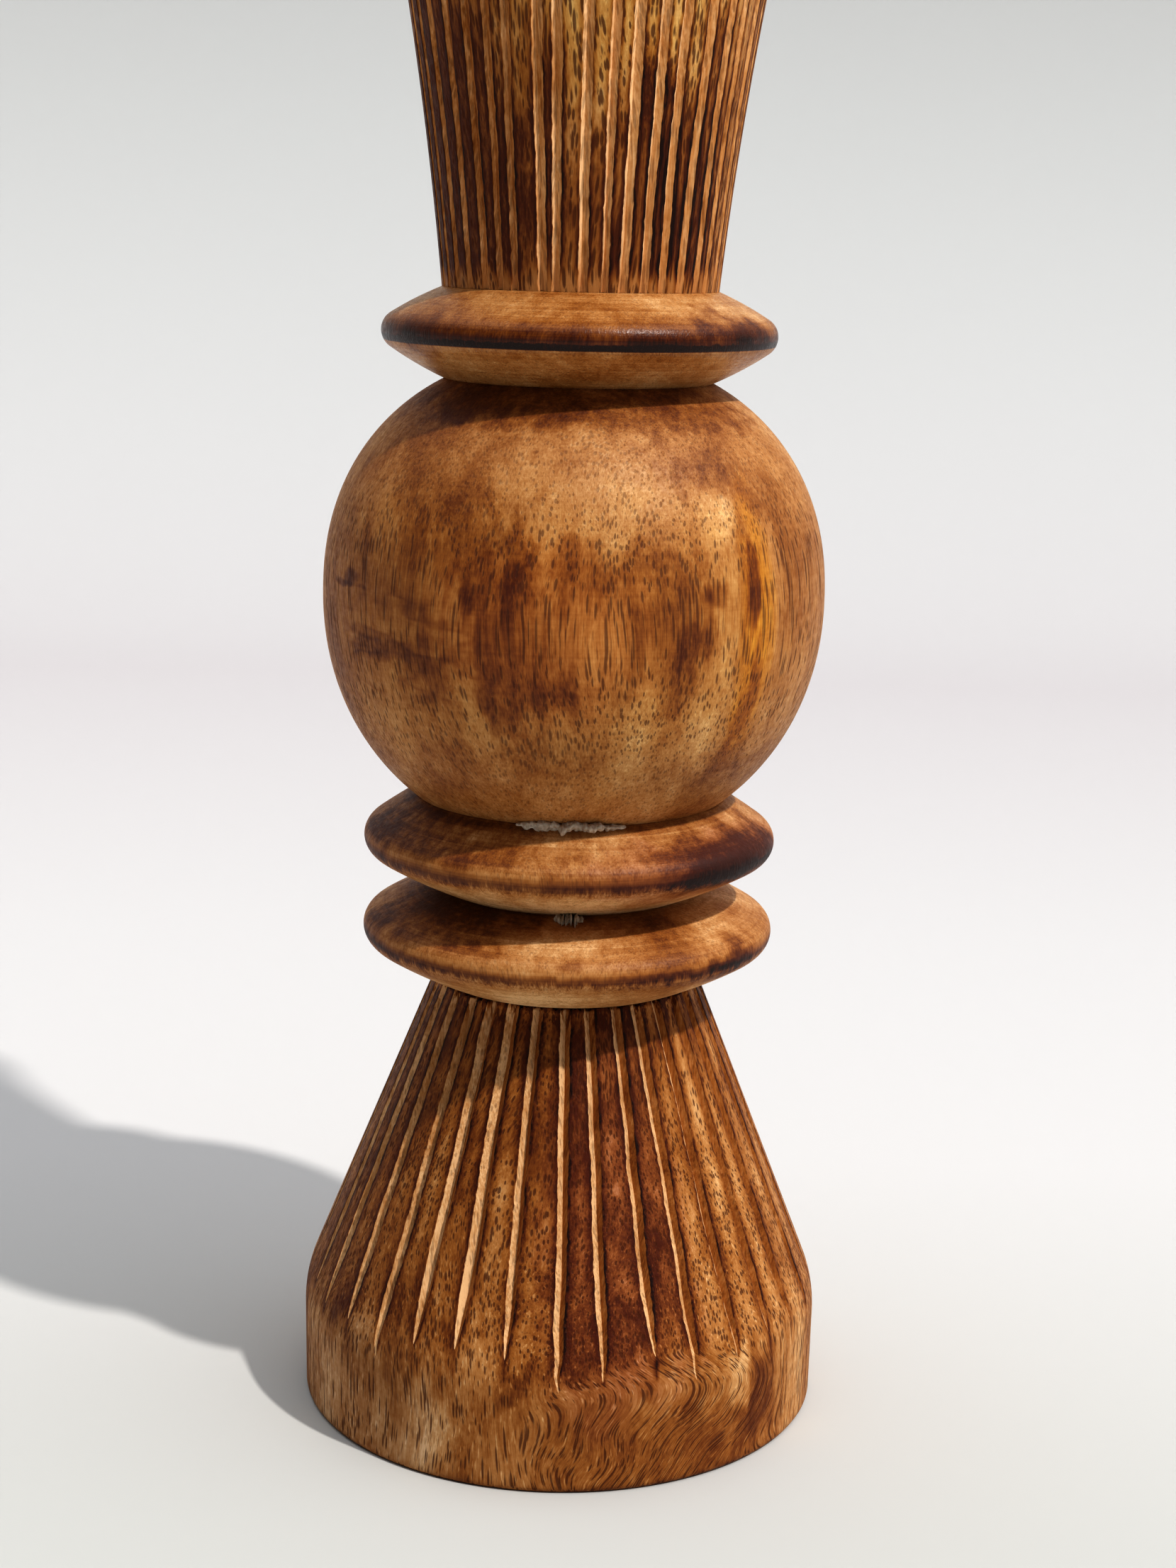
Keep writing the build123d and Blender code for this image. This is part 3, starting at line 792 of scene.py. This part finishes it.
def ball():
    foot, top = span("ball")
    side = ball_outline(foot, top - foot)
    low_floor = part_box("lower_dowel")[1].z / MM + DOWEL_END_GAP
    high_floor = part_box("upper_dowel")[0].z / MM
    below = [(LOWER_BORE, low_floor)] + foot_land(side, LOWER_BORE)
    above = top_land(side, UPPER_BORE) + [(UPPER_BORE, high_floor)]
    poles = [(0, 0, low_floor), (0, 0, high_floor)]
    piece = turned_block("ball_wood", below, side, above, columns=288, uneven=0.15, poles=poles)
    wood = Wood("ball_grain", "ball", 21, streaky=0.38, turned=0.14, open_pores=0.04)
    wood.pore = wood.pore * (wood.height.between(64, 50) * wood.height.between(6, 24) * 0.42 + 0.42)
    wood.tint(44, 37, 5.5, 25, (1.15, 1.04, 0.35))
    wood.tint(-8, 36, 26, 18, (1.02, 0.90, 0.80))
    wood.tint(-5, 34, 70, 26, (1.0, 0.94, 0.72))
    wood.veins(-40, 32, 22, 12, 0.04)
    # Painted shade: the last stain, at -10 degrees and 75 mm, darkens the ball right under the collar.
    wood.patches([
        (-28, 54, 15, 9, 0.16), (-57, 43, 3, 1.6, 0.30), (-60, 42, 8, 0.7, 0.24), (-46, 32, 16, 1.8, 0.16),
        (-14, 34, 12, 15, 0.17), (-16, 45, 14, 8, 0.12), (4, 33, 5, 14, -0.04), (20, 33, 9, 9, 0.08),
        (20, 44, 18, 5, 0.09), (49, 38, 6, 24, -0.12), (43, 44, 2.2, 7, 0.36), (45, 26, 2.0, 8, 0.20),
        (32, 45, 3.4, 3, 0.26), (30, 64, 12, 4, 0.14), (34, 21, 8, 9, -0.12), (-45, 18, 20, 9, -0.08),
        (2, 15, 12, 6, 0.06), (6, 60, 30, 9, -0.10), (8, 50, 20, 4, 0.14), (-5, 8, 40, 6, 0.02),
        (58, 42, 12, 24, -0.06), (-62, 40, 12, 30, 0.10), (-30, 42, 16, 8, 0.08), (-2, 35, 27, 14, 0.17),
        (40, 12, 14, 5, 0.08), (34, 53, 10, 8, -0.12), (35, 38, 8, 20, -0.16), (-10, 75, 90, 5, 0.24),
    ])
    add_piece(piece, "ball", wood.finish())


def crown_dome():
    """Its side is an arc that rises upright from its foot and narrows to the neck."""
    foot, top = span("crown_dome")
    low, high = np.array((DOME_RADIUS, foot)), np.array((NECK_RADIUS, top))
    sweep = ((low - high) @ (low - high)) / (2 * (low[0] - high[0]))
    centre = (DOME_RADIUS - sweep, foot)
    side = arc(centre, sweep, 0, bearing(high, centre), 70)
    low_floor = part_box("crown_dowel")[1].z / MM + DOWEL_END_GAP
    high_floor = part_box("finial_dowel")[0].z / MM
    below = [(CROWN_BORE, low_floor)] + foot_land(side, CROWN_BORE)
    above = top_land(side, FINIAL_BORE) + [(FINIAL_BORE, high_floor)]
    poles = [(0, 0, low_floor), (0, 0, high_floor)]
    piece = turned_block("crown_dome_wood", below, side, above, columns=224, uneven=0.12, poles=poles)
    wood = Wood("dome_grain", "crown_dome", 22)
    wood.patches([(20, 20, 40, 10, 0.1), (150, 15, 60, 12, 0.12)])
    add_piece(piece, "crown_dome", wood.finish())


def finial_ball():
    """Its side runs up to a pole, so a slight oval stands in for the unevenness."""
    foot, top = span("finial_ball")
    middle = top - FINIAL_BALL_RADIUS
    flat = math.sqrt(FINIAL_BALL_RADIUS**2 - (middle - foot) ** 2)
    side = arc((0, middle), FINIAL_BALL_RADIUS, bearing((flat, foot), (0, middle)), math.pi / 2, 80)[:-1]
    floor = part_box("finial_dowel")[1].z / MM + DOWEL_END_GAP
    below = [(FINIAL_BORE, floor)] + foot_land(side, FINIAL_BORE, FINE_LAND_STEP)
    radius, angle, height = around(below + side, 160)
    radius[len(below):] *= 1 - 0.004 * (1 + np.sin(2 * angle[len(below):]))
    piece = ring_mesh("finial_ball_wood", to_points(radius, angle, height), [(0, 0, floor), (0, 0, top)])
    wood = Wood("finial_ball_grain", "finial_ball", 23)
    add_piece(piece, "finial_ball", wood.finish())


def scallop(radius, angle, height, top, inner_radius):
    """The heights once the bowl's rim is notched. The wall's rows near the top sink with it."""
    pitch = 2 * math.pi / SCALLOP_COUNT
    across = (np.mod(angle + pitch / 2 + math.pi / 2, pitch) - pitch / 2) * radius
    notch = np.sqrt(np.maximum(0, SCALLOP_RADIUS**2 - across**2)) - (SCALLOP_RADIUS - SCALLOP_DEPTH)
    start = top - SCALLOP_REACH
    share = np.clip((height - start) / SCALLOP_REACH, 0, 1)
    sunk = start + share * (SCALLOP_REACH - np.maximum(0, notch))
    return np.where((radius > inner_radius - 0.5) & (height > start), sunk, height)


def fluted_coronet():
    foot, top = span("fluted_coronet")
    side = [(flare_radius(rise), foot + rise) for rise in np.linspace(0, top - foot, 165)]
    side_radius, heights = np.array(side).T
    widths = side_radius / CORONET_FOOT_RADIUS
    tips = np.full(CORONET_FLUTE_COUNT, foot - 30.0)  # so far down that the flutes run through the foot
    grooves = groove_set(tips, heights, left=0.50 * widths, right=1.12 * widths, depth=0.72, run_out=8.0,
                         jitter=0.16, wobble=0.005, top=foot + CORONET_FLUTE_TOP)
    radius, angle, height, cut, hand = fluted(side, grooves, CORONET_COLUMNS_PER_LAND)
    bowl_floor = span("crown_dome")[0]
    low_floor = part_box("upper_dowel")[1].z / MM + DOWEL_END_GAP
    crown_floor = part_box("crown_dowel")[0].z / MM
    rim_radius = side_radius[-1]
    inner_radius = rim_radius - BOWL_WALL
    below = [(UPPER_BORE, low_floor), (UPPER_BORE, foot)]
    above = [(rim_radius - BOWL_WALL * f, top) for f in (0.12, 0.35, 0.6, 0.85)]
    above += [(inner_radius, top - f * (top - bowl_floor)) for f in (0.03, 0.3, 0.6, 0.97)]
    above += [(inner_radius - 1.0, bowl_floor), (CROWN_BORE, bowl_floor), (CROWN_BORE, crown_floor)]
    radius, angle, height = with_ends(below, (radius, angle, height), above)
    height = scallop(radius, angle, height, top, inner_radius)
    piece = ring_mesh("fluted_coronet_wood", to_points(radius, angle, height),
                      [(0, 0, low_floor), (0, 0, crown_floor)], groove_attributes(below, cut, hand, above))
    add_piece(piece, "fluted_coronet", coronet_wood())


def coronet_wood():
    wood = Wood("coronet_grain", "fluted_coronet", 31, open_pores=0.12, vessel_length=6.0)
    wood.patches([
        (22, 14, 28, 26, 0.16), (45, 18, 16, 30, 0.16), (-15, 18, 20, 14, 0.12), (-25, 3, 3, 4, 0.5),
        (4, 70, 60, 42, -0.26), (42, 66, 20, 34, -0.20), (150, 60, 70, 60, 0.08), (-120, 30, 50, 40, 0.12),
    ], edge=0.9)
    burnt = (wood.height + (wood.blotches - 0.5) * 34).between(74, 6)
    burnt = burnt * (wood.azimuth + (wood.streaks - 0.5) * 24).band(40, 38)
    wood.char = burnt * (wood.streaks * 1.2 - 0.2) * 0.34
    wood.tint(10, 66, 50, 40, (1.06, 1.06, 0.75))
    soft_edge = carve(wood, crest_height=-20, edge_reach=0.6, soft_reach=1.0, burn=0.34, right_wall_painted_shade=0.18)
    wood.char = wood.char + soft_edge * burnt * (1 - wood.raw) * 0.34
    # Painted shade: lands and grooves darker on the left, the side away from the sun.
    wood.patches([(-60, 40, 44, 110, 0.26)], edge=0.5)
    fade = (wood.height + (wood.streaks - 0.5) * 5).between(5.5, 1.0) * 0.8
    wood.tone = wood.tone * (1 - fade) + fade * 0.24
    wood.char = wood.char * (1 - fade)
    return wood.finish(gloss=CARVED_GLOSS, raw_tint=CORONET_RAW_TINT)


# --- Glue ---


def glue(name, node, radius, level, start, end, size, drape, out, seed, lift=0.0):
    """Dried lumps along a joint: a closed tube whose thickness swells and shrinks.

    It runs from start to end degrees, out mm outside the joint's radius and lift mm above its level. drape
    stretches the lumps outwards.
    """
    rng = np.random.default_rng(seed)
    rows, columns = 170, 24
    angles = np.radians(np.linspace(start, end, rows))
    ends = np.sqrt(np.sin(np.linspace(0.02, math.pi - 0.02, rows)))
    around_tube = np.linspace(0, 2 * math.pi, columns, endpoint=False)
    spread = np.zeros((rows, columns))
    for facing in np.arange(0, 2 * math.pi, math.pi / 3):
        lumps = 0.55 + 0.50 * smooth_noise(rows, 9, rng) + 0.25 * smooth_noise(rows, 4, rng)
        share = np.maximum(0, np.cos(around_tube - facing)) ** 2 * 2 / 3
        spread += np.clip(lumps, 0.12, 1.4)[:, None] * share
    spread *= size * ends[:, None] * (1 + 0.06 * rng.uniform(-1, 1, (rows, columns)))
    r = radius + out + spread * np.cos(around_tube) * drape
    z = level + lift + spread * np.sin(around_tube) * 0.75
    rings = to_points(r, angles[:, None], z)
    piece = ring_mesh(name, rings, [rings[0].mean(axis=0), rings[-1].mean(axis=0)])
    piece.modifiers.new("soften", "SUBSURF").render_levels = 1
    add_piece(piece, node, dried_glue(name + "_dried", seed), 180.0)


def dried_glue(name, seed):
    g = Graph(bpy.data.materials.new(name))
    cloud = g.noise(g.stretch(g.point_in_mm(), 0.8, 0.8, 0.8, (seed, 0, 0)), 3.0, 0.6)
    colour = g.ramp(cloud,
                    ((0.25, (0.30, 0.22, 0.15)), (0.5, (0.52, 0.43, 0.34)), (0.8, (0.70, 0.64, 0.56))))
    return g.surface({"Base Color": colour, "Roughness": cloud * 0.4 + 0.25, "Subsurface Weight": 0.25,
                      "Subsurface Radius": (2.0 * MM, 1.2 * MM, 0.8 * MM)}, cloud * 0.15)


# --- Hidden CAD pieces ---


def felt_material():
    g = Graph(bpy.data.materials.new("green_felt"))
    place = g.point_in_mm()
    fibres = g.noise(g.stretch(place, 0.35, 0.35, 0.35, (0, 0, 0)), 4.0, 0.7, 1.5)
    wear = g.noise(g.stretch(place, 14, 14, 14, (5, 0, 0)), 3.0)
    colour = g.ramp(fibres * 0.7 + wear * 0.3,
                    ((0.3, (0.018, 0.055, 0.024)), (0.55, (0.04, 0.12, 0.05)), (0.8, (0.09, 0.20, 0.10))))
    return g.surface({"Base Color": colour, "Roughness": 0.95, "Sheen Weight": 0.4}, fibres * 0.12)


def dowel_material():
    g = Graph(bpy.data.materials.new("beech_dowel"))
    place = g.point_in_mm()
    grain = g.noise(g.stretch(place, 0.7, 0.7, 30, (0, 9, 0)), 3.0, 0.6)
    flecks = g.noise(g.stretch(place, 0.25, 0.25, 2.2, (3, 0, 0)), 2.0)
    colour = g.ramp(grain * 0.75 + flecks * 0.25,
                    ((0.3, (0.42, 0.25, 0.12)), (0.5, (0.58, 0.39, 0.22)), (0.75, (0.70, 0.52, 0.33))))
    return g.surface({"Base Color": colour, "Roughness": 0.62}, grain * 0.05)


def dress(node, material):
    """Gives a CAD node that stays in view its material."""
    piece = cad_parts[node]
    piece.data.materials.clear()
    piece.data.materials.append(material)


# --- Studio ---


def studio():
    """A pale sweep: floor, curve and wall in one sheet."""
    wide, front, bend, tall, curve = 8000.0, -8000.0, 850.0, 2600.0, 520.0
    profile = straight((front, 0), (bend, 0), 250.0)
    profile += [(y, z + curve) for y, z in arc((bend, 0), curve, -math.pi / 2, 0, 24)][1:]
    profile += straight(profile[-1], (bend + curve, tall), 300.0)[1:]
    across = np.linspace(-wide, wide, 41)
    points = [(x * MM, y * MM, z * MM) for y, z in profile for x in across]
    n = len(across)
    faces = [(r * n + c, r * n + c + 1, (r + 1) * n + c + 1, (r + 1) * n + c)
             for r in range(len(profile) - 1) for c in range(n - 1)]
    mesh = bpy.data.meshes.new("sweep")
    mesh.from_pydata(points, [], faces)
    mesh.shade_smooth()
    sweep = bpy.data.objects.new("sweep", mesh)
    bpy.context.scene.collection.objects.link(sweep)
    mesh.materials.append(paper())


def paper():
    """Paper whose colour changes slightly with its distance from the camera: painted shade, darker nearest
    the camera and towards the foot of the curve.
    """
    g = Graph(bpy.data.materials.new("paper"))
    place = g.point_in_mm()
    cloud = g.noise(g.stretch(place, 180, 180, 180, (0, 0, 0)), 2.0)
    depth = (g.split(place)[1] + 200) * (1 / 1600) + (cloud - 0.5) * 0.02
    colour = g.ramp(depth, (
        (0.06, (0.535, 0.53, 0.50)), (0.2, (0.61, 0.59, 0.576)), (0.32, (0.60, 0.579, 0.568)),
        (0.62, (0.555, 0.525, 0.525)), (0.95, (0.60, 0.60, 0.59)),
    ))
    return g.surface({"Base Color": colour, "Roughness": 0.9, "Specular IOR Level": 0.1}, cloud * 0.02)


def lights():
    flat = math.cos(SUN_ELEVATION)
    to_sun = Vector((math.sin(SUN_AZIMUTH) * flat, -math.cos(SUN_AZIMUTH) * flat, math.sin(SUN_ELEVATION)))
    sun = bpy.data.lights.new("sun", "SUN")
    sun.energy, sun.angle, sun.color = SUN_STRENGTH, SUN_WIDTH, SUN_COLOUR
    lamp = bpy.data.objects.new("sun", sun)
    lamp.rotation_mode = "QUATERNION"
    lamp.rotation_quaternion = (-to_sun).to_track_quat("-Z", "Y")
    bpy.context.scene.collection.objects.link(lamp)
    bpy.context.scene.world = sky()


def sky():
    """Soft bluish light from above and behind on the right; the room in front is dark, its horizon pale."""
    g = Graph(bpy.data.worlds.new("room"))
    direction = g.node("ShaderNodeTexCoord", {}, "Generated")
    brightest = tuple(Vector(SKY_BRIGHTEST).normalized())
    facing = g.vector_math("DOT_PRODUCT", direction, brightest, output="Value")
    colour = g.mix(facing.between(0.15, 1.0), SKY_DIM, SKY_BRIGHT)
    colour = g.mix(g.split(direction)[2].between(0.28, 0.06), colour, SKY_HORIZON)
    background = g.node("ShaderNodeBackground", {"Color": colour, "Strength": 1.0})
    return g.shown("ShaderNodeOutputWorld", background)


def camera():
    data = bpy.data.cameras.new("camera")
    data.sensor_fit = "VERTICAL"
    data.sensor_height = data.sensor_width = SENSOR
    data.lens = LENS
    made = bpy.data.objects.new("camera", data)
    facing = Matrix.Rotation(math.pi / 2 + CAMERA_PITCH, 4, "X") @ Matrix.Rotation(CAMERA_ROLL, 4, "Z")
    made.matrix_world = Matrix.Translation(Vector(CAMERA_PLACE) * MM) @ facing
    bpy.context.scene.collection.objects.link(made)
    bpy.context.scene.camera = made


fluted_base()
lower_disc()
middle_disc()
ball()
collar_disc()
fluted_coronet()
crown_dome()
finial_disc()
finial_ball()
glue("ball_joint_glue_lumps", "ball_joint_glue", BALL_FOOT_RADIUS, span("ball")[0], start=-18, end=20,
     size=2.2, drape=1.2, out=1.0, seed=5)
glue("disc_joint_glue_smear", "disc_joint_glue", VALLEY_RADIUS, span("middle_disc")[0], start=-5, end=7,
     size=2.4, drape=1.4, out=1.6, lift=-0.3, seed=6)
dress("base_felt", felt_material())
for dowel_node in ("lower_dowel", "upper_dowel", "crown_dowel", "finial_dowel"):
    dress(dowel_node, dowel_material())
studio()
lights()
camera()
view = bpy.context.scene.view_settings
view.view_transform = "Standard"
view.gamma = VIEW_GAMMA
